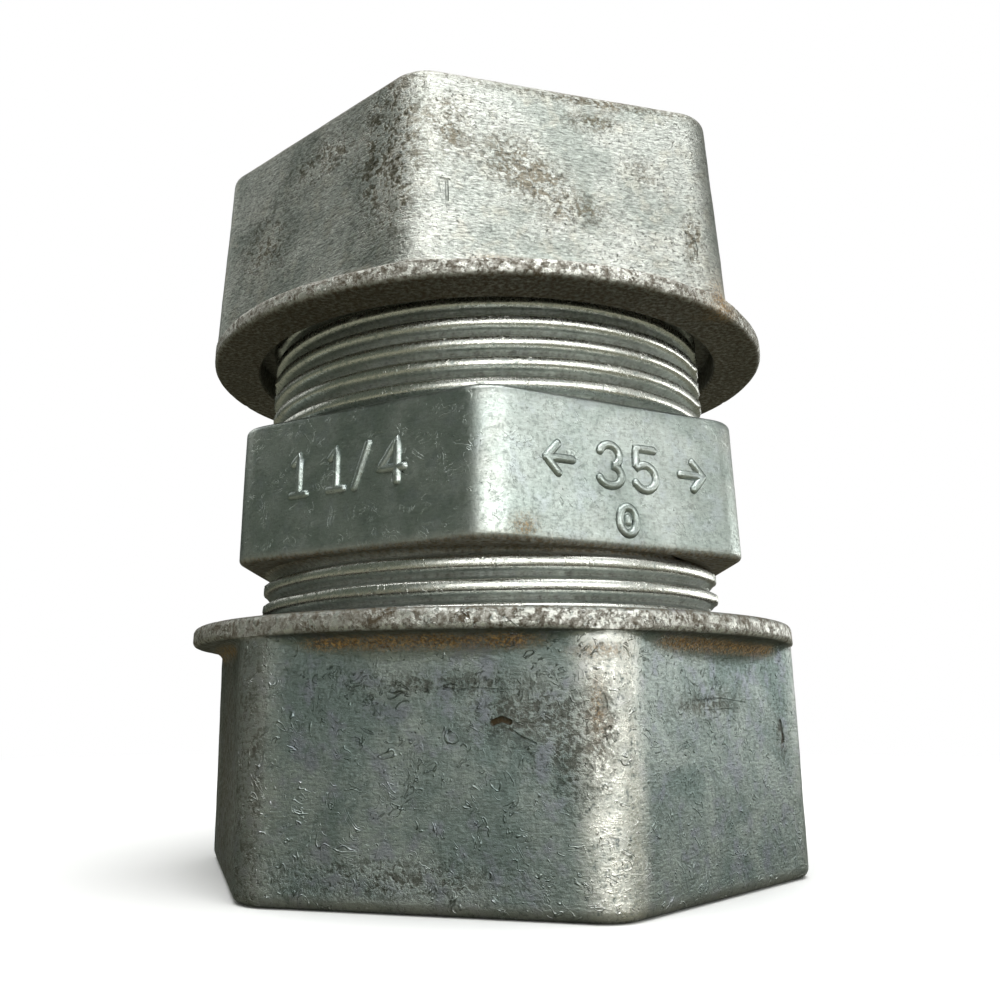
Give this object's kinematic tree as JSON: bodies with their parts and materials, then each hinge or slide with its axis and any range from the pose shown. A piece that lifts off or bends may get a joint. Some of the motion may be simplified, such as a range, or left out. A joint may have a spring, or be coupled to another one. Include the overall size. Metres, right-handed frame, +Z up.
{
  "type": "conduit compression coupling",
  "caption": "Coupling for thin-wall electrical conduit: threaded hexagonal body, two flanged hexagonal compression nuts and a split gland ring inside each.",
  "frame": {"origin": "centre of the lower nut's end face, on the conduit axis", "axes": "+Z up along the conduit axis; a corner of the body's hexagon points along -Y"},
  "size_m": [0.0552, 0.0552, 0.0656],
  "materials": {
    "cast_zinc": "satin",
    "cast_zinc_bright": "satin",
    "ring_steel": "satin"
  },
  "bodies": {
    "body": {"coupling_body": "cast_zinc_bright"},
    "lower_ring": {"lower_compression_ring": "ring_steel"},
    "lower_nut": {"lower_compression_nut": "cast_zinc"},
    "upper_ring": {"upper_compression_ring": "ring_steel"},
    "upper_nut": {"upper_compression_nut": "cast_zinc"}
  },
  "joints": [
    {"name": "lower_nut_travel", "type": "slide", "parent": "body", "child": "lower_ring", "axis": [0, 0, 1], "range_m": [-0.01089, 0.00181]},
    {"name": "lower_nut_turn", "type": "hinge", "parent": "lower_ring", "child": "lower_nut", "pos_m": [0, 0, 0], "axis": [0, 0, 1], "range_deg": [-2160, 360]},
    {"name": "upper_nut_travel", "type": "slide", "parent": "body", "child": "upper_ring", "axis": [0, 0, 1], "range_m": [-0.00454, 0.00817]},
    {"name": "upper_nut_turn", "type": "hinge", "parent": "upper_ring", "child": "upper_nut", "pos_m": [0, 0, 0.0656], "axis": [0, 0, 1], "range_deg": [-900, 1620]}
  ],
  "couplings": [
    {"joint": "lower_nut_travel", "follows": "lower_nut_turn", "m_per_rad": 0.00028875},
    {"joint": "upper_nut_travel", "follows": "upper_nut_turn", "m_per_rad": 0.00028875}
  ]
}
